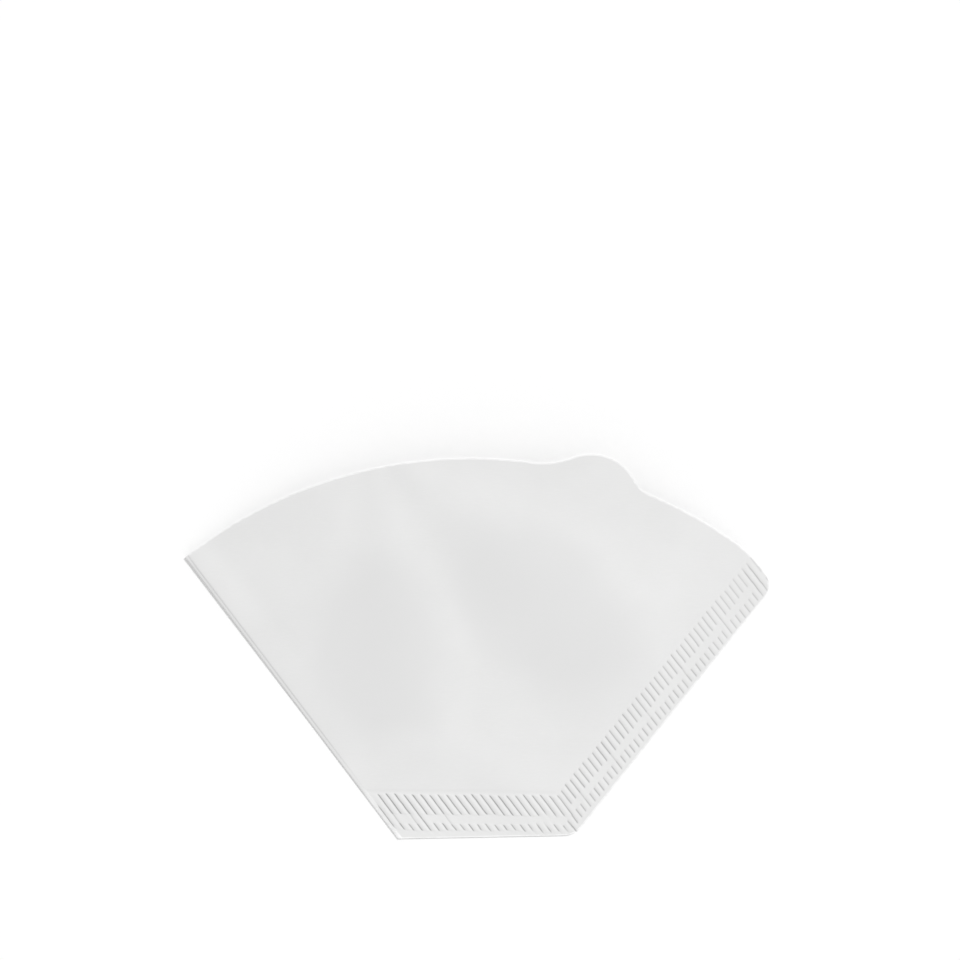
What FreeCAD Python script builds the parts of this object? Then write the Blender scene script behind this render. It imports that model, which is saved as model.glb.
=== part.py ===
import FreeCAD, Part
import math
import os

import Sketcher
from FreeCAD import Placement, Rotation, Vector

# A flat-bottomed paper coffee filter, one folded sheet, lying on its back wall.
# X runs along the bottom edge, Y up to the mouth, Z out of the front wall.
# While it is drawn, the corner where the fold meets the bottom edge is at the origin.

# Millimetres and degrees; a lean is measured from the Y axis
sizes = {
    # sheet
    "paper_thickness": 0.2,
    # fold, bottom edge and side edge
    "fold_lean": 36.0,
    "bottom_length": 48.7,
    "bottom_corner_radius": 6.0,
    "side_lean": 39.6,
    # mouth, one large arc that turns down to the side edge
    "mouth_centre_x": 19.5,
    "mouth_centre_y": -22.0,
    "mouth_radius": 126.1,
    "shoulder_x": 71.1,
    "shoulder_radius": 37.6,
    "top_corner_radius": 4.8,
    # grip tab, its centre seen from the centre of the mouth and set in from the mouth's edge
    "tab_lean": 17.3,
    "tab_inset": 7.6,
    "tab_radius": 13.4,
    "tab_left_fillet": 22.3,
    "tab_right_fillet": 8.7,
    # pocket between the walls, measured at the top of the mouth arc
    "pocket_height": 8.0,
    # crimped seams: margin to the edge, short dash, plain band, long dash, plain lip
    "bottom_margin": 1.5,
    "bottom_short_dash": 1.9,
    "bottom_band": 2.5,
    "bottom_long_dash": 5.5,
    "bottom_first_crimp": 2.2,
    "side_margin": 1.0,
    "side_short_dash": 2.1,
    "side_band": 2.3,
    "side_long_dash": 4.2,
    "side_first_crimp": 2.0,
    "side_last_crimp": 1.0,
    "seam_lip": 0.5,
    # one crimp: the teeth press both faces, half a pitch apart
    "crimp_lean": 37.5,
    "crimp_pitch": 1.87,
    "crimp_width": 0.9,
    "crimp_depth": 0.3,
    # how far the rough blank and the cutting tools run past the finished edges
    "overrun": 4.0,
    "crimp_overrun": 0.1,
}

doc = FreeCAD.newDocument("coffee_filter")
sheet = doc.addObject("Spreadsheet::Sheet", "dims")
for row, (alias, number) in enumerate(sizes.items(), start=1):
    sheet.set("A%d" % row, alias.replace("_", " "))
    sheet.set("B%d" % row, str(number))
    sheet.setAlias("B%d" % row, alias)
doc.recompute()

body = doc.addObject("PartDesign::Body", "filter_paper")
body.Label = "filter_paper"


def value(expression):
    """The number that an expression on the sheet gives."""
    return float(sheet.evalExpression(expression))


def origin_plane(role):
    """One of the body's own origin planes."""
    return next(item for item in body.Origin.OriginFeatures if item.Role == role)


def new_sketch(name, role, offset=("0", "0", "0"), axis=Vector(0, 0, 1), angle="0"):
    """A sketch on an origin plane, shifted and turned within that plane's own axes."""
    sketch = body.newObject("Sketcher::SketchObject", name)
    sketch.AttachmentSupport = [(origin_plane(role), "")]
    sketch.MapMode = "FlatFace"
    places = [value(text) for text in offset]
    sketch.AttachmentOffset = Placement(Vector(*places), Rotation(axis, value(angle)))
    for letter, text in zip("xyz", offset):
        sketch.setExpression("AttachmentOffset.Base." + letter, text)
    if angle != "0":
        sketch.setExpression("AttachmentOffset.Rotation.Angle", "(%s) * 1deg" % angle)
    return sketch


def pin(sketch, geometry, end, x=None, y=None):
    """Hold one point of a sketch at distances from its origin."""
    for kind, text in (("DistanceX", x), ("DistanceY", y)):
        if text is not None:
            number = sketch.addConstraint(Sketcher.Constraint(kind, geometry, end, value(text)))
            sketch.setExpression("Constraints[%d]" % number, text)


def set_radius(sketch, geometry, text):
    number = sketch.addConstraint(Sketcher.Constraint("Radius", geometry, value(text)))
    sketch.setExpression("Constraints[%d]" % number, text)


def point(x, y):
    return Vector(value(x), value(y), 0)


def draw_polygon(sketch, corners):
    """A closed polygon, each corner held by its two expressions."""
    first = sketch.GeometryCount
    places = [point(x, y) for x, y in corners]
    for start, end in zip(places, places[1:] + places[:1]):
        sketch.addGeometry(Part.LineSegment(start, end), False)
    for number, (x, y) in enumerate(corners):
        before = first + (number - 1) % len(corners)
        sketch.addConstraint(Sketcher.Constraint("Coincident", before, 2, first + number, 1))
        pin(sketch, first + number, 1, x, y)


# The rough blank: back wall, pressed seams, fold and front wall

# In the seams the walls are pressed together, puffed by the depth of a crimp
seam_thickness = "(2 * dims.paper_thickness + dims.crimp_depth)"
bottom_inset = "(dims.bottom_margin + dims.bottom_short_dash + dims.bottom_band)"
side_inset = "(dims.side_margin + dims.side_short_dash + dims.side_band)"
bottom_seam = "(%s + dims.bottom_long_dash + dims.seam_lip)" % bottom_inset
side_seam = "(%s + dims.side_long_dash + dims.seam_lip)" % side_inset
mouth_top = "(dims.mouth_centre_y + dims.mouth_radius)"
foot_station = "(-dims.overrun)"
far_station = "(%s + dims.overrun)" % mouth_top
bow_rise = "(dims.pocket_height * (%s - %s) / (%s - %s))" % (far_station, bottom_seam, mouth_top, bottom_seam)


def fold_x(station):
    """The line where the flat walls end and the round of the fold begins."""
    return "(%s / (2 * cos(dims.fold_lean * 1deg)) - tan(dims.fold_lean * 1deg) * (%s))" % (seam_thickness, station)


def side_x(station):
    return "(dims.bottom_length + tan(dims.side_lean * 1deg) * (%s))" % station


def past_side(station):
    return "(%s + dims.overrun)" % side_x(station)


def seam_x(station):
    """The inner edge of the side seam."""
    return "(%s - %s / cos(dims.side_lean * 1deg))" % (side_x(station), side_seam)


def pad(name, profile, length):
    feature = body.newObject("PartDesign::Pad", name)
    feature.Profile = profile
    feature.Type = "Length"
    feature.setExpression("Length", length)
    return feature


def draw_wall_section(name, station, rise=None):
    """The front wall cut square to Y; rise bows it up between the fold and the side seam."""
    sketch = new_sketch(name, "XZ_Plane", ("0", "0", "-%s" % station))
    low = "(dims.paper_thickness + dims.crimp_depth)"
    corners = [
        (fold_x(station), low),
        (seam_x(station), low),
        (seam_x(station), seam_thickness),
        (fold_x(station), seam_thickness),
    ]
    if rise is None:
        draw_polygon(sketch, corners)
        return sketch
    places = [point(x, y) for x, y in corners]
    middle = "(%s + %s) / 2" % (fold_x(station), seam_x(station))
    crowns = [(middle, "%s + %s" % (low, rise)), (middle, "%s + %s" % (seam_thickness, rise))]
    # an arc always runs anticlockwise, so the lower one is drawn from right to left
    sketch.addGeometry(Part.Arc(places[1], point(*crowns[0]), places[0]), False)
    sketch.addGeometry(Part.LineSegment(places[1], places[2]), False)
    sketch.addGeometry(Part.Arc(places[2], point(*crowns[1]), places[3]), False)
    sketch.addGeometry(Part.LineSegment(places[3], places[0]), False)
    for joint in ((0, 1, 1, 1), (1, 2, 2, 1), (2, 2, 3, 1), (3, 2, 0, 2)):
        sketch.addConstraint(Sketcher.Constraint("Coincident", *joint))
    for geometry, end, (x, y) in ((1, 1, corners[1]), (1, 2, corners[2]), (3, 1, corners[3]), (3, 2, corners[0])):
        pin(sketch, geometry, end, x, y)
    for arc, crown in zip((0, 2), crowns):
        top = sketch.addGeometry(Part.Point(point(*crown)), True)
        pin(sketch, top, 1, *crown)
        sketch.addConstraint(Sketcher.Constraint("PointOnObject", top, 1, arc))
    return sketch


def draw_fold_section():
    """Half a ring square to the fold, from the back wall round to the front wall."""
    start = (fold_x(foot_station), "%s / 2" % seam_thickness, "-%s" % foot_station)
    sketch = new_sketch("fold_section", "XZ_Plane", start, Vector(0, 1, 0), "dims.fold_lean")
    radii = ("%s / 2" % seam_thickness, "dims.crimp_depth / 2")
    for radius in radii:
        circle = Part.Circle(Vector(0, 0, 0), Vector(0, 0, 1), value(radius))
        arc = sketch.addGeometry(Part.ArcOfCircle(circle, math.pi / 2, 3 * math.pi / 2), False)
        sketch.addConstraint(Sketcher.Constraint("Coincident", arc, 3, -1, 1))
        sketch.addConstraint(Sketcher.Constraint("PointOnObject", arc, 1, -2))
        sketch.addConstraint(Sketcher.Constraint("PointOnObject", arc, 2, -2))
        set_radius(sketch, arc, radius)
    outer, inner = (value(radius) for radius in radii)
    lower = sketch.addGeometry(Part.LineSegment(Vector(0, -outer, 0), Vector(0, -inner, 0)), False)
    upper = sketch.addGeometry(Part.LineSegment(Vector(0, inner, 0), Vector(0, outer, 0)), False)
    for joint in ((0, 2, lower, 1), (lower, 2, 1, 2), (1, 1, upper, 1), (upper, 2, 0, 1)):
        sketch.addConstraint(Sketcher.Constraint("Coincident", *joint))
    return sketch


back_sketch = new_sketch("back_outline", "XY_Plane")
draw_polygon(back_sketch, [
    (fold_x(foot_station), foot_station),
    (past_side(foot_station), foot_station),
    (past_side(far_station), far_station),
    (fold_x(far_station), far_station),
])
pad("back_wall", back_sketch, "dims.paper_thickness")

band_sketch = new_sketch("seam_outline", "XY_Plane")
draw_polygon(band_sketch, [
    (fold_x(foot_station), foot_station),
    (past_side(foot_station), foot_station),
    (past_side(far_station), far_station),
    (seam_x(far_station), far_station),
    (seam_x(bottom_seam), bottom_seam),
    (fold_x(bottom_seam), bottom_seam),
])
pad("seam_band", band_sketch, seam_thickness)

# the fold runs as a round edge from the foot of the blank to its far end
fold = pad("fold", draw_fold_section(), "(%s - %s) / cos(dims.fold_lean * 1deg)" % (far_station, foot_station))
fold.Reversed = True

# straight lines run up the front wall from its root to its mouth, as they do in bent paper
front = body.newObject("PartDesign::AdditiveLoft", "front_wall")
front.Profile = draw_wall_section("front_root", bottom_seam)
front.Sections = [draw_wall_section("front_mouth", far_station, bow_rise)]
front.Ruled = True
doc.recompute()

# Outline, cut through both walls in one stroke


def meeting(centre_a, radius_a, centre_b, radius_b, side):
    """Where two circles meet, on the left (1) or right (-1) of the way from a to b."""
    span = centre_b - centre_a
    along = (span.Length ** 2 + radius_a ** 2 - radius_b ** 2) / (2 * span.Length)
    across = math.sqrt(radius_a ** 2 - along ** 2)
    forward = Vector(span).normalize()
    return centre_a + forward * along + Vector(-forward.y, forward.x, 0) * (side * across)


def toward(centre, target, distance):
    return centre + (target - centre).normalize() * distance


def draw_arc(sketch, centre, radius, start, end):
    """An arc that runs anticlockwise from start to end."""
    angles = [math.atan2(place.y - centre.y, place.x - centre.x) for place in (start, end)]
    if angles[1] < angles[0]:
        angles[1] += 2 * math.pi
    circle = Part.Circle(centre, Vector(0, 0, 1), radius)
    return sketch.addGeometry(Part.ArcOfCircle(circle, *angles), False)


tab_reach = "(dims.mouth_radius - dims.tab_inset)"
tab_x = "(dims.mouth_centre_x + %s * sin(dims.tab_lean * 1deg))" % tab_reach
tab_y = "(dims.mouth_centre_y + %s * cos(dims.tab_lean * 1deg))" % tab_reach


def draw_outline():
    """The finished outline inside a frame; the frame's area is what is cut away."""
    size = {alias: value("dims." + alias) for alias in sizes}
    frame_side = "(%s - dims.overrun)" % fold_x(far_station)
    sketch = new_sketch("outline", "XY_Plane")
    lean = math.radians(size["side_lean"])
    up_side = Vector(math.sin(lean), math.cos(lean), 0)
    inward = Vector(-up_side.y, up_side.x, 0)
    corner = Vector(size["bottom_length"], 0, 0)
    left = value(frame_side)

    # centres of the arcs, each tangent to its neighbours
    mouth = Vector(size["mouth_centre_x"], size["mouth_centre_y"], 0)
    mouth_radius = size["mouth_radius"]
    tab = point(tab_x, tab_y)
    tab_radius = size["tab_radius"]
    left_fillet = size["tab_left_fillet"]
    right_fillet = size["tab_right_fillet"]
    left_centre = meeting(mouth, mouth_radius + left_fillet, tab, tab_radius + left_fillet, 1)
    right_centre = meeting(mouth, mouth_radius + right_fillet, tab, tab_radius + right_fillet, -1)
    shoulder_radius = size["shoulder_radius"]
    reach = mouth_radius - shoulder_radius
    shoulder_rise = math.sqrt(reach ** 2 - (size["shoulder_x"] - mouth.x) ** 2)
    shoulder = Vector(size["shoulder_x"], mouth.y + shoulder_rise, 0)
    top_radius = size["top_corner_radius"]
    inner_line = corner + inward * top_radius
    foot = inner_line + up_side * (shoulder - inner_line).dot(up_side)
    rest = (shoulder_radius - top_radius) ** 2 - (foot - shoulder).Length ** 2
    top_centre = foot + up_side * math.sqrt(rest)
    side_end = top_centre - inward * top_radius
    bottom_radius = size["bottom_corner_radius"]
    tangent = bottom_radius * math.tan((math.pi / 2 - lean) / 2)
    bottom_end = corner - Vector(tangent, 0, 0)
    bottom_centre = bottom_end + Vector(0, bottom_radius, 0)
    left_rise = math.sqrt(mouth_radius ** 2 - (left - mouth.x) ** 2)
    mouth_end = Vector(left, mouth.y + left_rise, 0)

    # once round, anticlockwise from the lower left; a hollow arc is drawn backwards
    shoulder_start = toward(shoulder, top_centre, shoulder_radius)
    shoulder_end = toward(mouth, shoulder, mouth_radius)
    right_start = toward(mouth, right_centre, mouth_radius)
    tab_start = toward(tab, right_centre, tab_radius)
    tab_end = toward(tab, left_centre, tab_radius)
    left_end = toward(mouth, left_centre, mouth_radius)
    bottom = sketch.addGeometry(Part.LineSegment(Vector(left, 0, 0), bottom_end), False)
    bottom_arc = draw_arc(sketch, bottom_centre, bottom_radius, bottom_end, corner + up_side * tangent)
    side = sketch.addGeometry(Part.LineSegment(corner + up_side * tangent, side_end), False)
    top_arc = draw_arc(sketch, top_centre, top_radius, side_end, shoulder_start)
    shoulder_arc = draw_arc(sketch, shoulder, shoulder_radius, shoulder_start, shoulder_end)
    right_mouth = draw_arc(sketch, mouth, mouth_radius, shoulder_end, right_start)
    right_hollow = draw_arc(sketch, right_centre, right_fillet, tab_start, right_start)
    tab_arc = draw_arc(sketch, tab, tab_radius, tab_start, tab_end)
    left_hollow = draw_arc(sketch, left_centre, left_fillet, left_end, tab_end)
    left_mouth = draw_arc(sketch, mouth, mouth_radius, left_end, mouth_end)
    left_line = sketch.addGeometry(Part.LineSegment(mouth_end, Vector(left, 0, 0)), False)

    smooth_joints = [
        (bottom, 2, bottom_arc, 1),
        (bottom_arc, 2, side, 1),
        (side, 2, top_arc, 1),
        (top_arc, 2, shoulder_arc, 1),
        (shoulder_arc, 2, right_mouth, 1),
        (right_mouth, 2, right_hollow, 2),
        (right_hollow, 1, tab_arc, 1),
        (tab_arc, 2, left_hollow, 2),
        (left_hollow, 1, left_mouth, 1),
    ]
    for joint in smooth_joints:
        sketch.addConstraint(Sketcher.Constraint("Tangent", *joint))
    sketch.addConstraint(Sketcher.Constraint("Coincident", left_mouth, 2, left_line, 1))
    sketch.addConstraint(Sketcher.Constraint("Coincident", left_line, 2, bottom, 1))
    sketch.addConstraint(Sketcher.Constraint("Vertical", left_line))
    sketch.addConstraint(Sketcher.Constraint("PointOnObject", bottom, 1, -1))
    sketch.addConstraint(Sketcher.Constraint("PointOnObject", bottom, 2, -1))
    pin(sketch, bottom, 1, frame_side)
    set_radius(sketch, bottom_arc, "dims.bottom_corner_radius")
    set_radius(sketch, top_arc, "dims.top_corner_radius")
    set_radius(sketch, shoulder_arc, "dims.shoulder_radius")
    pin(sketch, shoulder_arc, 3, "dims.shoulder_x")
    set_radius(sketch, right_mouth, "dims.mouth_radius")
    pin(sketch, right_mouth, 3, "dims.mouth_centre_x", "dims.mouth_centre_y")
    set_radius(sketch, right_hollow, "dims.tab_right_fillet")
    set_radius(sketch, tab_arc, "dims.tab_radius")
    pin(sketch, tab_arc, 3, tab_x, tab_y)
    set_radius(sketch, left_hollow, "dims.tab_left_fillet")
    sketch.addConstraint(Sketcher.Constraint("Equal", right_mouth, left_mouth))
    sketch.addConstraint(Sketcher.Constraint("Coincident", left_mouth, 3, right_mouth, 3))
    slope = sketch.addConstraint(Sketcher.Constraint("Angle", side, math.pi / 2 - lean))
    sketch.setExpression("Constraints[%d]" % slope, "(90 - dims.side_lean) * 1deg")
    corner_point = sketch.addGeometry(Part.Point(corner), True)
    pin(sketch, corner_point, 1, "dims.bottom_length", "0")
    sketch.addConstraint(Sketcher.Constraint("PointOnObject", corner_point, 1, side))

    # length of the side edge from the sharp corner, which sets how many crimps fit
    side_length = (side_end - corner).Length
    run = sketch.addConstraint(Sketcher.Constraint("Distance", corner_point, 1, side, 2, side_length))
    sketch.setDriving(run, False)
    sketch.renameConstraint(run, "side_run")

    frame_left = "(%s - dims.overrun)" % frame_side
    frame_right = "(%s + dims.overrun)" % past_side(far_station)
    frame_low = "(%s - dims.overrun)" % foot_station
    frame_high = "(%s + dims.overrun)" % far_station
    draw_polygon(sketch, [
        (frame_left, frame_low),
        (frame_right, frame_low),
        (frame_right, frame_high),
        (frame_left, frame_high),
    ])
    return sketch


outline = draw_outline()
trim = body.newObject("PartDesign::Pocket", "trim")
trim.Profile = outline
trim.Type = "ThroughAll"
trim.SideType = "Symmetric"
doc.recompute()

# Origin at the middle of the footprint, back wall on Z = 0
box = trim.Shape.optimalBoundingBox(False)
body.Placement = Placement(Vector(-box.Center.x, -box.Center.y, -box.ZMin), Rotation())
doc.recompute()

# Crimped seams: rows of pressed dashes, all leaning as the fold does

bottom_edge = {
    "name": "bottom",
    "x": "0",
    "turn": "0",
    "crossing": "(90 - dims.crimp_lean)",
    "first": "dims.bottom_first_crimp",
}
side_edge = {
    "name": "side",
    "x": "dims.bottom_length",
    "turn": "(90 - dims.side_lean)",
    "crossing": "(dims.crimp_lean + dims.side_lean)",
    "first": "dims.side_first_crimp",
}


def row_pitch(edge):
    """Pitch measured along the edge instead of square to the dashes."""
    return "(dims.crimp_pitch / sin(%s * 1deg))" % edge["crossing"]


def press_dash(edge, name, inset, dash, under):
    """One dash, a vee pressed into the upper or the under face of a seam."""
    shift = "%s / 2" % row_pitch(edge) if under else "0"
    along = "(%s + %s)" % (edge["first"], shift)
    into = "(%s / sin(%s * 1deg))" % (inset, edge["crossing"])
    x = "%s + %s * cos(%s * 1deg) - %s * sin(dims.crimp_lean * 1deg)" % (edge["x"], along, edge["turn"], into)
    y = "%s * sin(%s * 1deg) + %s * cos(dims.crimp_lean * 1deg)" % (along, edge["turn"], into)
    face = "0" if under else seam_thickness
    out = "-1" if under else "1"
    sketch = new_sketch(name + "_vee", "XZ_Plane", (x, face, "-(%s)" % y), Vector(0, 1, 0), "dims.crimp_lean")
    half = "dims.crimp_width / 2 * (1 + dims.crimp_overrun / dims.crimp_depth)"
    draw_polygon(sketch, [
        ("0", "-(%s) * dims.crimp_depth" % out),
        (half, "%s * dims.crimp_overrun" % out),
        ("-(%s)" % half, "%s * dims.crimp_overrun" % out),
    ])
    feature = body.newObject("PartDesign::Pocket", name)
    feature.Profile = sketch
    feature.Type = "Length"
    feature.setExpression("Length", "%s / sin(%s * 1deg)" % (dash, edge["crossing"]))
    feature.Refine = False
    return feature


def press_row(edge, name, inset, dash, count):
    """A row of dashes on both faces, repeated along its edge."""
    for face in ("upper", "under"):
        first = press_dash(edge, "%s_%s" % (name, face), inset, dash, face == "under")
        pattern = body.newObject("PartDesign::LinearPattern", "%s_%s_row" % (name, face))
        pattern.Originals = [first]
        pattern.Direction = (edge["guide"], ["H_Axis"])
        pattern.Mode = "Spacing"
        pattern.setExpression("Offset", row_pitch(edge))
        pattern.setExpression("Occurrences", count)
        pattern.Refine = False
        body.Tip = pattern


def bottom_count(inset):
    """Dashes that fit between the fold and the side seam, at this distance up from the edge."""
    lean = "tan(dims.crimp_lean * 1deg)"
    room = "%s + %s * (%s) - %s" % (seam_x(inset), lean, inset, bottom_edge["first"])
    return "floor((%s) / %s)" % (room, row_pitch(bottom_edge))


for edge in (bottom_edge, side_edge):
    edge["guide"] = new_sketch(edge["name"] + "_guide", "XY_Plane", (edge["x"], "0", "0"), angle=edge["turn"])

side_count = "floor((outline.Constraints.side_run / 1mm - dims.side_first_crimp - dims.side_last_crimp) / %s)" % (
    row_pitch(side_edge))
bottom_short_count = bottom_count("dims.bottom_margin")
press_row(bottom_edge, "bottom_short", "dims.bottom_margin", "dims.bottom_short_dash", bottom_short_count)
press_row(bottom_edge, "bottom_long", bottom_inset, "dims.bottom_long_dash", bottom_count(bottom_inset))
press_row(side_edge, "side_short", "dims.side_margin", "dims.side_short_dash", side_count)
press_row(side_edge, "side_long", side_inset, "dims.side_long_dash", side_count)
doc.recompute()

failed = [item.Name for item in doc.Objects if "Invalid" in item.State or "Error" in item.State]
if failed:
    raise RuntimeError("not built: " + ", ".join(failed))
if body.Shape.isNull() or not body.Shape.isValid() or len(body.Shape.Solids) != 1:
    raise RuntimeError("the filter is not one valid solid")

os.makedirs("parts", exist_ok=True)
body.Shape.exportStep("parts/%s.step" % body.Label)
for item in body.Group:
    if item.isDerivedFrom("PartDesign::LinearPattern"):
        print(item.Name, item.Occurrences)
print("size %.2f x %.2f x %.2f mm" % (box.XLength, box.YLength, box.ZLength))
print("volume %.1f mm3, area %.1f mm2" % (body.Shape.Volume, body.Shape.Area))
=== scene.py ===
import math
import random
import bpy
import bmesh
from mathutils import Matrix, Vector, noise


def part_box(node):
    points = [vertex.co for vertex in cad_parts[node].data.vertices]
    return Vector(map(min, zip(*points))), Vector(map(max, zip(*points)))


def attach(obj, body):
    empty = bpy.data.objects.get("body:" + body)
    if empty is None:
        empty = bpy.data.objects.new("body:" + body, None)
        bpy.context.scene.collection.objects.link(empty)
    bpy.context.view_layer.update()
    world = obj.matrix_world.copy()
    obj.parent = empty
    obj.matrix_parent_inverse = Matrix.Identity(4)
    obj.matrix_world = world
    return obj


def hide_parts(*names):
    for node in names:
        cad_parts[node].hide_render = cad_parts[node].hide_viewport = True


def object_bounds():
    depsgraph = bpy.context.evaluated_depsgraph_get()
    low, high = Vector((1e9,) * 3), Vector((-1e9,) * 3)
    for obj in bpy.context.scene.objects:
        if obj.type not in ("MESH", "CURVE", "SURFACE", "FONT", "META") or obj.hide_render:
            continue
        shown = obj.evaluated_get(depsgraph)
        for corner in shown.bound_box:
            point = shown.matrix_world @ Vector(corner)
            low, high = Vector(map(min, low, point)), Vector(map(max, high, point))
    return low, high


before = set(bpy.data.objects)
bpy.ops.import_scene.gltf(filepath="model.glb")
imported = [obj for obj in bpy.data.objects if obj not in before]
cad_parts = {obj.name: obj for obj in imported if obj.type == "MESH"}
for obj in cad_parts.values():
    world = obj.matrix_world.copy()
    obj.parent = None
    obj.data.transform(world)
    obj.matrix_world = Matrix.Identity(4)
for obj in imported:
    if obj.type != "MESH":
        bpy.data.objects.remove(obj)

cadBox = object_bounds()
nodeLow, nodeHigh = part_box("filter_paper")
mm = 0.001
degree = math.pi / 180

# Millimetres and degrees. The filter is drawn flat, with the corner of fold and bottom edge at
# the origin and the mouth towards +Y. A lean is measured from the Y axis.
filterSize = {
    "paper": 0.2,  # thickness of one layer
    "seamThickness": 0.7,
    "foldLean": 36.0,
    "foldWidth": 0.8,  # from the outer edge of the fold to the flat walls
    "foldLoft": 1.2,  # how much thicker the fold is at the mouth than at the seam
    "foldRelax": 9.0,  # width over which the front wall comes down from that
    "foldShoulder": 0.28,  # how far the front wall dips into the rounding of the fold
    "shoulderWidth": 0.5,  # from the fold line to where that dip ends
    "shoulderGrowth": 5.0,  # the dip is full from a fifth of the wall's height on
    "foldClear": 0.4,  # width over which a seam's pressing begins beside the fold
    "foldLines": (0.15, 0.3, 0.5, 0.9, 1.7),  # mesh lines in the wall beside the fold
    "foldSteps": 8,
    "foldLitTo": (9.0, 15.0),  # painted light: up to this height the outer side of the fold is lightened
    "bottomLength": 48.7,
    "bottomCorner": 6.0,
    "sideLean": 39.6,
    "mouthCentre": (19.5, -22.0),
    "mouthRadius": 126.1,
    "shoulderX": 71.1,
    "shoulderRadius": 37.6,
    "topCorner": 4.8,
    "tabLean": 17.3,  # of the tab's centre, seen from the mouth's centre
    "tabInset": 7.6,  # of the tab's centre, in from the mouth's edge
    "tabRadius": 13.4,
    "tabLeftFillet": 22.3,
    "tabRightFillet": 8.7,
    "pocketHeight": 8.0,  # between the walls, at the top of the mouth
    "rim": 0.3,  # width of the band along the cut edges that carries a painted highlight
    "rimFade": 0.12,
    "arcStep": 1.1,  # length of one straight piece of an arc
    "fewestSteps": 3,  # of any arc
    "wallStep": 1.8,  # spacing of the wall's mesh
    "wallFoot": 10.0,  # the level mesh lines of the wall start above this
    "merge": 0.004,  # points nearer than this become one
    "sharpFrom": 55.0,  # a bend sharper than this keeps a hard edge
}

# Soft conical buckles in the front wall, fanning out from a point near the mouth
buckle = {"apex": (-5.5, 109.0), "period": 41.0, "height": 0.007, "relax": 15.0}

# Painted shade: two darker patches on the front wall: centre, half sizes, lean of the first
shadePatches = {
    "left": {"centre": (-5.5, 50.0), "half": (20.0, 25.0), "lean": -10.0},
    "right": {"centre": (42.0, 61.0), "half": (31.0, 18.0), "lean": -43.0},
    "fade": 0.35,  # softness of the border, as a share of the half size
    "ragged": 0.3,
    "spots": 0.06,  # how many ragged turns a millimetre
}

crimp = {
    "pitch": 1.87,  # square to the grooves
    "depth": 0.32,
    "flat": 0.5,  # level of the plain bands, as a share of the depth
    "slices": (-0.26, -0.14, -0.07, 0.0, 0.07, 0.14, 0.26, 0.5),  # mesh lines across a groove
    "ends": (-0.4, -0.2, 0.0, 0.2, 0.4),  # mesh lines at the end of a dash
    "fade": 0.4,  # how softly a dash begins and ends
    "step": 1.2,  # spacing of the mesh lines along a dash
    "swell": 0.26,  # half the rise of the paper between two grooves, as a share of the depth
    "wander": 0.09,  # of a groove from its line
    "wanderTurns": 0.7,  # a millimetre
    "crinkle": 0.1,  # uneven pressing, as a share of the depth
    "crinkleTurns": 0.9,
    "plain": 1e-6,  # where less than this is pressed, the paper counts as plain
    "uneven": (0.86, 1.1),  # random share of a dash's strength
    "endShift": 0.2,  # random shift of a dash's ends
    "throughInset": 1.0,  # a groove across the plain band ends this far inside the rows
    "lip": 1.1,  # width of the bend where a wall leaves the seam
    "lipLines": (0.35, 0.7, 1.0),  # mesh lines across that bend, as shares
}

# The rows of a seam run beside a line that starts "inset" from the trimmed edge and turns
# towards it by "turn". Distances are measured in from that line, strengths from foot to end.
bottomSeam = {
    "width": 12.7, "inset": 0.0, "turn": 1.65, "lean": 35.8, "first": 1.15, "groove": 0.17,
    "short": (2.4, 4.2), "shortStrength": (0.92, 0.82),
    "long": (6.7, 12.2), "longStrength": (1.1, 0.9),
    "count": 23, "shortSpan": (0, 21), "longSpan": (1, 22), "seed": 4,
    "through": {1: 0.45, 3: 0.4, 4: 0.95, 7: 0.3},  # grooves that cross the plain band
    "besideFold": (2.9, 9.2, 1.0),  # the first groove, in place of its dashes
    "clear": 3.5,  # how far the fine mesh stays off the line of the other seam
}
sideSeam = {
    "width": 10.3, "inset": 1.0, "turn": 0.76, "lean": 37.0, "first": 1.1, "groove": 0.19,
    "short": (0.65, 3.2), "shortStrength": (0.68, 0.38),
    "long": (5.25, 9.8), "longStrength": (0.76, 0.24),
    "count": 47, "shortSpan": (0, 46), "longSpan": (2, 46), "seed": 9, "clear": 0.0,
    "through": {4: 0.4, 11: 0.35, 19: 0.3, 27: 0.35, 36: 0.4, 43: 0.6, 44: 0.6},
}

foldLean = filterSize["foldLean"] * degree
sideLean = filterSize["sideLean"] * degree
foldDirection = Vector((-math.sin(foldLean), math.cos(foldLean), 0))
offFold = Vector((foldDirection.y, -foldDirection.x, 0))
sideDirection = Vector((math.sin(sideLean), math.cos(sideLean), 0))
sideInward = Vector((-math.cos(sideLean), math.sin(sideLean), 0))
bottomRight = Vector((filterSize["bottomLength"], 0, 0))
foldStart = Vector((filterSize["foldWidth"] / math.cos(foldLean), 0, 0))
mouth = Vector((*filterSize["mouthCentre"], 0))
mouthTop = mouth.y + filterSize["mouthRadius"]
footRun = (mouth - foldStart).dot(foldDirection)
footOff = (mouth - foldStart).dot(offFold)
foldLength = footRun + math.sqrt(filterSize["mouthRadius"] ** 2 - footOff ** 2)
foldEnd = foldStart + foldDirection * foldLength
backLevel = filterSize["paper"] / 2
frontLevel = filterSize["seamThickness"] - filterSize["paper"] / 2
onLine = 1e-4  # a point nearer to the fold line than this counts as on it
clearlyOff = 1e-3
cutDistance = 1e-5
print("stage: frame loaded")


# Outline of one wall

def flat(pair):
    return Vector((pair[0], pair[1], 0))


def circlesMeet(centreA, radiusA, centreB, radiusB, side):
    # side is 1 for the crossing on the left of the way from A to B, -1 for the right
    span = centreB - centreA
    along = (span.length ** 2 + radiusA ** 2 - radiusB ** 2) / (2 * span.length)
    across = math.sqrt(radiusA ** 2 - along ** 2)
    forward = span.normalized()
    return centreA + forward * along + Vector((-forward.y, forward.x, 0)) * (side * across)


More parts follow.
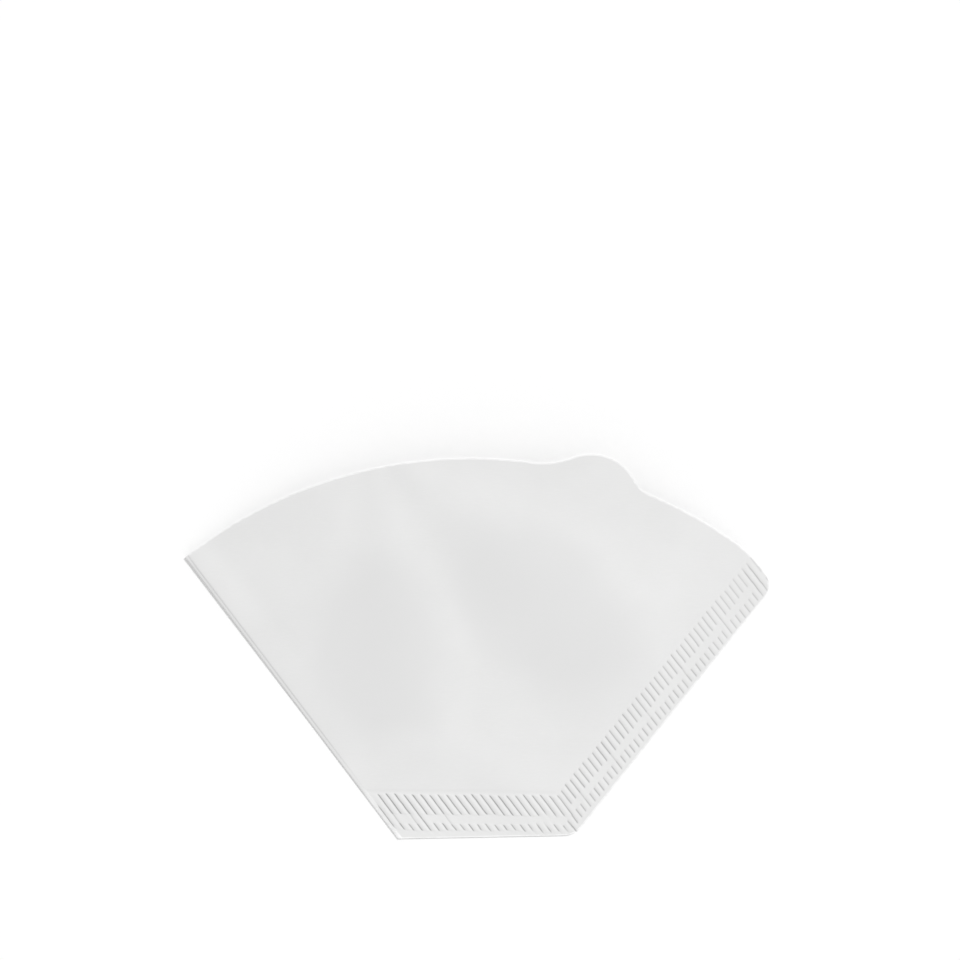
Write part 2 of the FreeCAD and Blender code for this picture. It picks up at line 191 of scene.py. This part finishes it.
def toward(centre, target, distance):
    return centre + (target - centre).normalized() * distance


def sweepTo(bm, vert, centre, end):
    start = vert.co - centre
    turn = math.atan2(start.cross(end - centre).z, start.dot(end - centre))
    steps = max(filterSize["fewestSteps"], math.ceil(abs(turn) * start.length / filterSize["arcStep"]))
    swept = bmesh.ops.spin(bm, geom=[vert], cent=centre, axis=(0, 0, 1), angle=turn, steps=steps)
    return next(item for item in swept["geom_last"] if isinstance(item, bmesh.types.BMVert))


def lineTo(bm, vert, end):
    drawn = bmesh.ops.extrude_vert_indiv(bm, verts=[vert])["verts"][0]
    drawn.co = end
    return drawn


def drawOutline(bm):
    size = filterSize
    mouthRadius = size["mouthRadius"]
    tabLean, tabRadius = size["tabLean"] * degree, size["tabRadius"]
    leftFillet, rightFillet = size["tabLeftFillet"], size["tabRightFillet"]
    tab = mouth + Vector((math.sin(tabLean), math.cos(tabLean), 0)) * (mouthRadius - size["tabInset"])
    leftCentre = circlesMeet(mouth, mouthRadius + leftFillet, tab, tabRadius + leftFillet, 1)
    rightCentre = circlesMeet(mouth, mouthRadius + rightFillet, tab, tabRadius + rightFillet, -1)
    reach = mouthRadius - size["shoulderRadius"]
    shoulderRise = math.sqrt(reach ** 2 - (size["shoulderX"] - mouth.x) ** 2)
    shoulder = Vector((size["shoulderX"], mouth.y + shoulderRise, 0))
    innerLine = bottomRight + sideInward * size["topCorner"]
    foot = innerLine + sideDirection * (shoulder - innerLine).dot(sideDirection)
    rest = (size["shoulderRadius"] - size["topCorner"]) ** 2 - (foot - shoulder).length_squared
    topCentre = foot + sideDirection * math.sqrt(rest)
    tangent = size["bottomCorner"] * math.tan((math.pi / 2 - sideLean) / 2)
    bottomEnd = bottomRight - Vector((tangent, 0, 0))
    cornerCentre = bottomEnd + Vector((0, size["bottomCorner"], 0))

    first = bm.verts.new(foldStart)
    vert = lineTo(bm, first, bottomEnd)
    vert = sweepTo(bm, vert, cornerCentre, bottomRight + sideDirection * tangent)
    vert = lineTo(bm, vert, topCentre - sideInward * size["topCorner"])
    vert = sweepTo(bm, vert, topCentre, toward(shoulder, topCentre, size["shoulderRadius"]))
    vert = sweepTo(bm, vert, shoulder, toward(mouth, shoulder, mouthRadius))
    vert = sweepTo(bm, vert, mouth, toward(mouth, rightCentre, mouthRadius))
    vert = sweepTo(bm, vert, rightCentre, toward(tab, rightCentre, tabRadius))
    vert = sweepTo(bm, vert, tab, toward(tab, leftCentre, tabRadius))
    vert = sweepTo(bm, vert, leftCentre, toward(mouth, leftCentre, mouthRadius))
    vert = sweepTo(bm, vert, mouth, foldEnd)
    bm.edges.new((vert, first))
    return bmesh.ops.contextual_create(bm, geom=bm.edges[:])["faces"][0]


# Where a point lies in a seam

def layRows(seam, foot, along):
    turn = seam["turn"] * degree
    lean = seam["lean"] * degree
    inward = Vector((-along.y, along.x, 0))
    seam["origin"] = foot + inward * seam["inset"]
    seam["inward"] = inward * math.cos(turn) + along * math.sin(turn)
    seam["across"] = Vector((math.cos(lean), math.sin(lean), 0))
    shift = crimp["endShift"]
    dice = random.Random(seam["seed"])
    seam["dashes"] = {}
    for index in range(seam["count"]):
        way = (index / (seam["count"] - 1)) ** 2
        dashes = []
        for row in ("short", "long"):
            start, end = seam[row]
            low, high = seam[row + "Strength"]
            strength = (low + (high - low) * way) * dice.uniform(*crimp["uneven"])
            dash = (start + dice.uniform(-shift, shift), end + dice.uniform(-shift, shift), strength)
            if seam[row + "Span"][0] <= index <= seam[row + "Span"][1]:
                dashes.append(dash)
        if index in seam["through"]:
            start = seam["short"][0] + crimp["throughInset"]
            end = seam["long"][1] - crimp["throughInset"]
            dashes.append((start, end, seam["through"][index]))
        seam["dashes"][index] = dashes


layRows(bottomSeam, Vector((0, 0, 0)), Vector((1, 0, 0)))
layRows(sideSeam, bottomRight, sideDirection)
bottomSeam["dashes"][0] = [bottomSeam["besideFold"]]
seams = (bottomSeam, sideSeam)


def into(seam, point):
    return (point - seam["origin"]).dot(seam["inward"])


# Slicing: fine along the seams, coarse in the walls

def cutBy(bm, geom, planes):
    for origin, normal in planes:
        cut = bmesh.ops.bisect_plane(bm, geom=geom, dist=cutDistance, plane_co=origin, plane_no=normal)
        geom = cut["geom"]


def zone(bm, chosen):
    faces = [face for face in bm.faces if chosen(face.calc_center_median())]
    edges = dict.fromkeys(edge for face in faces for edge in face.edges)
    verts = dict.fromkeys(vert for face in faces for vert in face.verts)
    return [*verts, *edges, *faces]


def spread(low, high, step):
    count = max(1, round((high - low) / step))
    return [low + (high - low) * i / count for i in range(1, count)]


def seamPlanes(seam, geom):
    verts = [item for item in geom if isinstance(item, bmesh.types.BMVert)]
    spans = [(vert.co - seam["origin"]).dot(seam["across"]) for vert in verts]
    lowest = math.floor((min(spans) - seam["first"]) / crimp["pitch"])
    highest = math.ceil((max(spans) - seam["first"]) / crimp["pitch"])
    planes = []
    for number in range(lowest, highest + 1):
        for offset in crimp["slices"]:
            distance = seam["first"] + (number + offset) * crimp["pitch"]
            planes.append((seam["origin"] + seam["across"] * distance, seam["across"]))
    lines = []
    for start, end in (seam["short"], seam["long"]):
        lines += [start + offset for offset in crimp["ends"]] + [end + offset for offset in crimp["ends"]]
        lines += spread(start + crimp["ends"][-1], end - crimp["ends"][-1], crimp["step"])
    lines.append((seam["short"][1] + seam["long"][0]) / 2)
    planes += [(seam["origin"] + seam["inward"] * distance, seam["inward"]) for distance in lines]
    return planes


def inWall(point):
    return all(into(seam, point) > seam["width"] for seam in seams)


def inRows(seam, other, point):
    return into(seam, point) < seam["width"] and into(other, point) > seam["clear"]


def sliceWall(bm, outline):
    for width in (filterSize["rim"], filterSize["rimFade"]):
        bmesh.ops.inset_individual(bm, faces=[outline], thickness=width, use_even_offset=True)
    everything = bm.verts[:] + bm.edges[:] + bm.faces[:]
    borders = []
    lips = []
    for seam in seams:
        border = seam["origin"] + seam["inward"] * seam["width"]
        borders.append((border, seam["inward"]))
        for share in crimp["lipLines"]:
            lips.append((border + seam["inward"] * crimp["lip"] * share, seam["inward"]))
    cutBy(bm, everything, borders)
    xs = [vert.co.x for vert in bm.verts]
    ys = [vert.co.y for vert in bm.verts]
    step = filterSize["wallStep"]
    planes = [((x, 0, 0), (1, 0, 0)) for x in spread(min(xs), max(xs), step)]
    planes += [((0, y, 0), (0, 1, 0)) for y in spread(filterSize["wallFoot"], max(ys), step)]
    planes += [(foldStart + offFold * distance, offFold) for distance in filterSize["foldLines"]]
    cutBy(bm, zone(bm, inWall), planes + lips)
    for seam, other in ((bottomSeam, sideSeam), (sideSeam, bottomSeam)):
        geom = zone(bm, lambda point: inRows(seam, other, point))
        cutBy(bm, geom, seamPlanes(seam, geom))
    print("stage: wall sliced", len(bm.faces), "faces")


# Bending

def smooth(low, high, value):
    share = min(1, max(0, (value - low) / (high - low)))
    return share * share * (3 - 2 * share)


def dashWeight(seam, index, distance):
    half = crimp["fade"] / 2
    weight = 0
    for start, end, strength in seam["dashes"].get(index, ()):
        along = smooth(start - half, start + half, distance) * (1 - smooth(end - half, end + half, distance))
        weight = max(weight, strength * along)
    return weight


def press(seam, point):
    # weight of the pressing, height as a share of the depth, and how deep in a groove
    distance = into(seam, point)
    wander = crimp["wander"] * noise.noise(point * crimp["wanderTurns"])
    turns = ((point - seam["origin"]).dot(seam["across"]) - seam["first"] + wander) / crimp["pitch"]
    index = round(turns)
    offset = abs(turns - index)
    beside = index + (1 if turns > index else -1)
    here = dashWeight(seam, index, distance)
    pillow = here * (1 - offset) + dashWeight(seam, beside, distance) * offset
    dip = math.exp(-(offset * crimp["pitch"] / seam["groove"]) ** 2)
    ridge = 1 - crimp["swell"] * (1 + math.cos(2 * math.pi * offset))
    share = (crimp["flat"] + pillow * (ridge - crimp["flat"])) * (1 - min(1, here) * dip)
    return max(here, pillow), share, here * dip


def pressed(point):
    # height of the pressed paper, and how deep in a groove
    rows = [press(seam, point) for seam in seams]
    total = sum(weight for weight, share, groove in rows)
    level = crimp["flat"]
    if total > crimp["plain"]:
        level = sum(weight * share for weight, share, groove in rows) / total
    level += crimp["crinkle"] * noise.noise(point * crimp["crinkleTurns"])
    return max(0, level) * crimp["depth"], min(1, max(groove for weight, share, groove in rows))


def rise(point):
    return max(0, (point.y - bottomSeam["width"]) / (mouthTop - bottomSeam["width"]))


def bow(point):
    # straight from the bottom seam up to the mouth, a parabola across from fold to side seam
    foldX = foldStart.x - math.tan(foldLean) * point.y
    seamX = bottomRight.x + math.tan(sideLean) * point.y - sideSeam["width"] / math.cos(sideLean)
    across = 2 * (point.x - foldX) / (seamX - foldX) - 1
    return rise(point) * filterSize["pocketHeight"] * max(0, 1 - across * across)


def buckles(point):
    spoke = point - flat(buckle["apex"])
    turn = math.atan2(spoke.x, -spoke.y)
    edge = min(offFoldBy(point), *(into(seam, point) - seam["width"] for seam in seams))
    wave = math.sin(2 * math.pi * turn / (buckle["period"] * degree))
    return spoke.length * buckle["height"] * wave * smooth(0, buckle["relax"], edge)


def offFoldBy(point):
    return (point - foldStart).dot(offFold)


def onFold(vert):
    return abs(offFoldBy(vert.co)) < onLine


def shoulderDip(point):
    return filterSize["foldShoulder"] * min(1, filterSize["shoulderGrowth"] * rise(point))


def foldRadius(point):
    thickness = filterSize["seamThickness"] + filterSize["foldLoft"] * rise(point) - shoulderDip(point)
    return thickness / 2 - backLevel


def seamShare(point):
    inside = max(seam["width"] - into(seam, point) for seam in seams)
    return smooth(-crimp["lip"], 0, inside)


def paintedShade(point):
    # painted shade: how far a point lies inside the two darker patches
    ragged = shadePatches["ragged"] * noise.noise(point * shadePatches["spots"])
    shade = 0
    for spot in (shadePatches["left"], shadePatches["right"]):
        lean = spot["lean"] * degree
        offset = point - flat(spot["centre"])
        along = (offset.x * math.cos(lean) + offset.y * math.sin(lean)) / spot["half"][0]
        square = (offset.y * math.cos(lean) - offset.x * math.sin(lean)) / spot["half"][1]
        outside = math.hypot(along, square) + ragged - 1
        shade = max(shade, 1 - smooth(-shadePatches["fade"], shadePatches["fade"], outside))
    return shade


def heights(point):
    # of the back and the front layer, and how deep in a groove
    height, groove = pressed(point)
    share = seamShare(point)
    off = offFoldBy(point)
    clear = smooth(0, filterSize["foldClear"], off)
    loft = filterSize["foldLoft"] * rise(point) * (1 - smooth(0, filterSize["foldRelax"], off))
    dip = shoulderDip(point) * (1 - smooth(0, filterSize["shoulderWidth"], off))
    free = frontLevel + loft - dip + bow(point) + buckles(point)
    seamFront = frontLevel + (backLevel + filterSize["paper"] + height - frontLevel) * clear
    return backLevel + share * clear * height, seamFront * share + free * (1 - share), groove * share * clear


def foldSlide(point):
    # how far a point of the fold slides along it, so that its ends stay in line with the edges
    share = (point - foldStart).dot(foldDirection) / foldLength
    arm = foldEnd - mouth
    return math.tan(foldLean) * (1 - share) + arm.dot(offFold) / arm.dot(foldDirection) * share


def foldOver(bm, frontVerts):
    # the fold is spun at one radius, then each ring is drawn to its own width and height
    verts = [vert for vert in frontVerts if onFold(vert)]
    linked = dict.fromkeys(edge for vert in verts for edge in vert.link_edges)
    edges = [edge for edge in linked if all(onFold(vert) for vert in edge.verts)]
    bmesh.ops.spin(bm, geom=verts + edges, cent=foldStart, axis=foldDirection, angle=-math.pi,
                   steps=filterSize["foldSteps"])
    wide = filterSize["foldWidth"] - backLevel
    for vert in bm.verts:
        out = -offFoldBy(vert.co)
        if out > -onLine:
            radius = foldRadius(vert.co)
            vert.co += foldDirection * (out * wide * foldSlide(vert.co)) - offFold * (out * (wide - 1))
            vert.co.z = backLevel + radius * (1 + vert.co.z)
    bmesh.ops.remove_doubles(bm, verts=bm.verts[:], dist=filterSize["merge"])


def markEdgeHighlight(bm, layer):
    # the narrow faces along the cut edges, with all their points, for a painted highlight
    for edge in bm.edges:
        if edge.is_boundary and not all(onFold(vert) for vert in edge.verts):
            for vert in edge.verts:
                for face in vert.link_faces:
                    for corner in face.verts:
                        corner[layer] = 1.0


def buildFilter():
    bm = bmesh.new()
    grooveShadeLayer = bm.verts.layers.float.new("pressed")
    paintedShadeLayer = bm.verts.layers.float.new("paintedShade")
    paintedLightLayer = bm.verts.layers.float.new("rim")
    outline = drawOutline(bm)
    along = [vert.co.dot(foldDirection) for vert in outline.verts]
    off = [offFoldBy(vert.co) for vert in outline.verts]
    halfFold = math.pi * filterSize["foldWidth"] / 2
    blank = {
        "flat": ((max(off) + halfFold) * 2 * mm, (max(along) - min(along)) * mm),
        "area": 2 * (outline.calc_area() + halfFold * (along[-1] - along[0])) * mm * mm,
    }
    sliceWall(bm, outline)
    markEdgeHighlight(bm, paintedLightLayer)
    for vert in bm.verts:
        vert[paintedShadeLayer] = paintedShade(vert.co)
    front = bm.verts[:]
    copied = bmesh.ops.duplicate(bm, geom=bm.verts[:] + bm.edges[:] + bm.faces[:])
    back = [item for item in copied["geom"] if isinstance(item, bmesh.types.BMVert)]
    for verts, level in ((back, 0), (front, 1)):
        for vert in verts:
            if onFold(vert):
                vert.co.z = 2 * level - 1
            else:
                height = heights(vert.co.copy())
                vert.co.z = height[level]
                # how deep in a groove, kept for the painted shade in the grooves
                vert[grooveShadeLayer] = height[2]
    foldOver(bm, front)
    # painted light on the outer side of the fold: full at its cut ends and near the bottom, fading out above
    for vert in bm.verts:
        if offFoldBy(vert.co) < -clearlyOff:
            foldLight = 1 - smooth(filterSize["foldLitTo"][0], filterSize["foldLitTo"][1], vert.co.y)
            vert[paintedLightLayer] = 1.0 if vert.is_boundary else foldLight
    bmesh.ops.recalc_face_normals(bm, faces=bm.faces[:])
    largest = max(vert.co.x for vert in bm.verts)
    bmesh.ops.translate(bm, verts=bm.verts[:], vec=(nodeHigh.x / mm - largest, nodeLow.y / mm, 0))
    bmesh.ops.scale(bm, verts=bm.verts[:], vec=(mm, mm, mm))
    mesh = bpy.data.meshes.new("filterPaper")
    bm.to_mesh(mesh)
    bm.free()
    return mesh, blank


filterMesh, blank = buildFilter()
print("stage: sheet", len(filterMesh.polygons), "faces")
filterPaper = bpy.data.objects.new("filterPaper", filterMesh)
bpy.context.collection.objects.link(filterPaper)
layer = filterPaper.modifiers.new("layer", "SOLIDIFY")
layer.thickness = filterSize["paper"] * mm
layer.offset = 0
evaluated = filterPaper.evaluated_get(bpy.context.evaluated_depsgraph_get())
solidMesh = bpy.data.meshes.new_from_object(evaluated)
filterPaper.modifiers.clear()
filterPaper.data = solidMesh
solidMesh.polygons.foreach_set("use_smooth", [True] * len(solidMesh.polygons))
solidMesh.set_sharp_from_angle(angle=filterSize["sharpFrom"] * degree)
triangles = sum(len(face.vertices) - 2 for face in solidMesh.polygons)
print("stage: paper", len(solidMesh.polygons), "faces", triangles, "triangles")

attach(filterPaper, "root")
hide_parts("filter_paper")
blankSides = [round(side / mm, 1) for side in blank["flat"]]
print("stage: blank", blankSides, "mm", round(blank["area"] / mm / mm), "mm2")


# Paper material

paper = {
    "colour": (0.803, 0.803, 0.801, 1),
    "cloudColour": (0.785, 0.785, 0.783, 1),
    "fibreColour": (0.87, 0.87, 0.87, 1),
    "paintedShadeColour": (0.745, 0.745, 0.745, 1),
    "grooveShadeColour": (0.27, 0.27, 0.27, 1),
    "paintedLightColour": (0.93, 0.93, 0.93, 1),
    "cloudRange": (0.38, 0.62),  # of the noise
    "fibreRange": (0.5, 0.8),
    "fibreShare": 0.25,  # how much of its colour shows at most
    "paintedShadeShare": 0.65,
    "grooveShadeShare": 0.9,
    "lightBreakRange": (0.35, 0.6),
    "lightBreakLeast": 0.35,  # how much of the painted light along the rim shows at least
    "roughness": 0.92,
    "specular": 0.15,
    "bumpStrength": 0.35,
    "bumpHeight": 0.03,
}

# Noise in turns a millimetre, stretched and turned
pulp = {
    "cloud": {"scale": 0.045, "stretch": (1, 1, 1), "turn": 0, "detail": 2},
    "fibre": {"scale": 1.6, "stretch": (0.3, 2.4, 1), "turn": 28, "detail": 3},
    "crossFibre": {"scale": 1.6, "stretch": (0.3, 2.4, 1), "turn": -49, "detail": 3},
    "crepe": {"scale": 0.8, "stretch": (0.35, 1.6, 1), "turn": 6, "detail": 2},
    "roughness": 0.6,
}


def paperGrain():
    # clouds of the pulp, fibres lying two ways and fine crepe, from a place in millimetres
    group = bpy.data.node_groups.new("paperGrain", "ShaderNodeTree")
    group.interface.new_socket("Place", in_out="INPUT", socket_type="NodeSocketVector")
    for name in ("Cloud", "Fibre", "Crepe"):
        group.interface.new_socket(name, in_out="OUTPUT", socket_type="NodeSocketFloat")
    nodes, links = group.nodes, group.links
    start = nodes.new("NodeGroupInput")
    end = nodes.new("NodeGroupOutput")

    def grain(look):
        mapping = nodes.new("ShaderNodeMapping")
        mapping.inputs["Rotation"].default_value = (0, 0, look["turn"] * degree)
        mapping.inputs["Scale"].default_value = look["stretch"]
        texture = nodes.new("ShaderNodeTexNoise")
        texture.inputs["Scale"].default_value = look["scale"]
        texture.inputs["Detail"].default_value = look["detail"]
        texture.inputs["Roughness"].default_value = pulp["roughness"]
        links.new(start.outputs["Place"], mapping.inputs["Vector"])
        links.new(mapping.outputs["Vector"], texture.inputs["Vector"])
        return texture.outputs[0]

    links.new(grain(pulp["cloud"]), end.inputs["Cloud"])
    fibres = nodes.new("ShaderNodeMath")
    fibres.operation = "MAXIMUM"
    links.new(grain(pulp["fibre"]), fibres.inputs[0])
    links.new(grain(pulp["crossFibre"]), fibres.inputs[1])
    links.new(fibres.outputs[0], end.inputs["Fibre"])
    links.new(grain(pulp["crepe"]), end.inputs["Crepe"])
    return group


def paperMaterial():
    material = bpy.data.materials.new("filterPaper")
    material.use_nodes = True
    nodes, links = material.node_tree.nodes, material.node_tree.links
    shader = nodes["Principled BSDF"]
    shader.inputs["Roughness"].default_value = paper["roughness"]
    shader.inputs["Specular IOR Level"].default_value = paper["specular"]

    place = nodes.new("ShaderNodeTexCoord")
    inMillimetres = nodes.new("ShaderNodeVectorMath")
    inMillimetres.operation = "SCALE"
    inMillimetres.inputs["Scale"].default_value = 1 / mm
    grain = nodes.new("ShaderNodeGroup")
    grain.node_tree = paperGrain()
    links.new(place.outputs["Object"], inMillimetres.inputs[0])
    links.new(inMillimetres.outputs[0], grain.inputs["Place"])

    def remap(source, low, high, toLow, toHigh):
        node = nodes.new("ShaderNodeMapRange")
        node.inputs["From Min"].default_value = low
        node.inputs["From Max"].default_value = high
        node.inputs["To Min"].default_value = toLow
        node.inputs["To Max"].default_value = toHigh
        links.new(source, node.inputs["Value"])
        return node.outputs["Result"]

    def blend(factor, a, b):
        node = nodes.new("ShaderNodeMix")
        node.data_type = "RGBA"
        links.new(factor, node.inputs["Factor"])
        for socket, colour in ((node.inputs[6], a), (node.inputs[7], b)):
            if isinstance(colour, tuple):
                socket.default_value = colour
            else:
                links.new(colour, socket)
        return node.outputs[2]

    def mask(name):
        node = nodes.new("ShaderNodeAttribute")
        node.attribute_name = name
        return node.outputs["Fac"]

    clouds = remap(grain.outputs["Cloud"], *paper["cloudRange"], 0, 1)
    colour = blend(clouds, paper["colour"], paper["cloudColour"])
    fibres = remap(grain.outputs["Fibre"], *paper["fibreRange"], 0, paper["fibreShare"])
    colour = blend(fibres, colour, paper["fibreColour"])
    # painted shade: the two patches darken the base colour of the front wall
    shadePatchMix = remap(mask("paintedShade"), 0, 1, 0, paper["paintedShadeShare"])
    colour = blend(shadePatchMix, colour, paper["paintedShadeColour"])
    # painted highlight along the cut edges and painted light on the fold, broken up by the crepe noise
    paintedLight = nodes.new("ShaderNodeMath")
    paintedLight.operation = "MULTIPLY"
    links.new(mask("rim"), paintedLight.inputs[0])
    lightBreaks = remap(grain.outputs["Crepe"], *paper["lightBreakRange"], paper["lightBreakLeast"], 1)
    links.new(lightBreaks, paintedLight.inputs[1])
    colour = blend(paintedLight.outputs[0], colour, paper["paintedLightColour"])
    # painted shade: the base colour darkens towards the bottom of each groove
    grooveShade = remap(mask("pressed"), 0, 1, 0, paper["grooveShadeShare"])
    colour = blend(grooveShade, colour, paper["grooveShadeColour"])
    links.new(colour, shader.inputs["Base Color"])

    relief = nodes.new("ShaderNodeMath")
    relief.operation = "ADD"
    links.new(grain.outputs["Fibre"], relief.inputs[0])
    links.new(grain.outputs["Crepe"], relief.inputs[1])
    bump = nodes.new("ShaderNodeBump")
    bump.inputs["Strength"].default_value = paper["bumpStrength"]
    bump.inputs["Distance"].default_value = paper["bumpHeight"] * mm
    links.new(relief.outputs[0], bump.inputs["Height"])
    links.new(bump.outputs["Normal"], shader.inputs["Normal"])
    return material


filterPaper.data.materials.clear()
filterPaper.data.materials.append(paperMaterial())
print("stage: material")


# Stage

studio = {
    "floorSize": 4.0,
    "floorColour": (0.985, 0.985, 0.985, 1),
    "skyStrength": 0.64,
    "keyStrength": 1.5,
    "keyAngle": 16,  # degrees across, a large soft lamp far away
    "keyFrom": (0.64, 0.53, 1.15),
}

floorMesh = bpy.data.meshes.new("floor")
bm = bmesh.new()
bmesh.ops.create_grid(bm, x_segments=1, y_segments=1, size=studio["floorSize"] / 2)
bm.to_mesh(floorMesh)
bm.free()
floor = bpy.data.objects.new("floor", floorMesh)
bpy.context.collection.objects.link(floor)
floorMaterial = bpy.data.materials.new("floor")
floorMaterial.use_nodes = True
floorShader = floorMaterial.node_tree.nodes["Principled BSDF"]
floorShader.inputs["Base Color"].default_value = studio["floorColour"]
floorShader.inputs["Roughness"].default_value = 1.0
floorShader.inputs["Specular IOR Level"].default_value = 0.0
floorMesh.materials.append(floorMaterial)

world = bpy.data.worlds.new("studio")
bpy.context.scene.world = world
world.use_nodes = True
worldNodes, worldLinks = world.node_tree.nodes, world.node_tree.links
sky = worldNodes["Background"]
sky.inputs["Color"].default_value = (1, 1, 1, 1)
sky.inputs["Strength"].default_value = studio["skyStrength"]
backdrop = worldNodes.new("ShaderNodeBackground")
backdrop.inputs["Color"].default_value = (1, 1, 1, 1)
backdrop.inputs["Strength"].default_value = 1.0
rays = worldNodes.new("ShaderNodeLightPath")
either = worldNodes.new("ShaderNodeMixShader")
worldLinks.new(rays.outputs["Is Camera Ray"], either.inputs[0])
worldLinks.new(sky.outputs[0], either.inputs[1])
worldLinks.new(backdrop.outputs[0], either.inputs[2])
worldLinks.new(either.outputs[0], worldNodes["World Output"].inputs["Surface"])

keyLight = bpy.data.lights.new("key", "SUN")
keyLight.energy = studio["keyStrength"]
keyLight.angle = studio["keyAngle"] * degree
key = bpy.data.objects.new("key", keyLight)
key.location = studio["keyFrom"]
key.rotation_euler = (-Vector(studio["keyFrom"])).to_track_quat("-Z", "Y").to_euler()
bpy.context.collection.objects.link(key)
print("stage: studio")


# Camera, straight down on the paper

view = {
    "distance": 1.1,
    "sensor": 36,  # millimetres
    "photoWidth": 960,  # pixels
    "mmPerPixel": 160.0 / 582,
    "middle": (478.4, 646.8),  # of the filter in the photo, pixels
    "roll": -1.11,  # degrees, the slope of the bottom edge
}

cameraData = bpy.data.cameras.new("camera")
cameraData.sensor_width = view["sensor"]
cameraData.lens = cameraData.sensor_width * view["distance"] / (view["photoWidth"] * view["mmPerPixel"] * mm)
camera = bpy.data.objects.new("camera", cameraData)
roll = view["roll"] * degree
right = Vector((math.cos(roll), math.sin(roll), 0))
up = Vector((-math.sin(roll), math.cos(roll), 0))
half = view["photoWidth"] / 2
middle = Vector(((cadBox[0][0] + cadBox[1][0]) / 2, (cadBox[0][1] + cadBox[1][1]) / 2, view["distance"]))
middle += right * ((half - view["middle"][0]) * view["mmPerPixel"] * mm)
middle += up * ((view["middle"][1] - half) * view["mmPerPixel"] * mm)
camera.location = middle
camera.rotation_euler = (0, 0, roll)
bpy.context.collection.objects.link(camera)
bpy.context.scene.camera = camera
bpy.context.scene.view_settings.view_transform = "Standard"
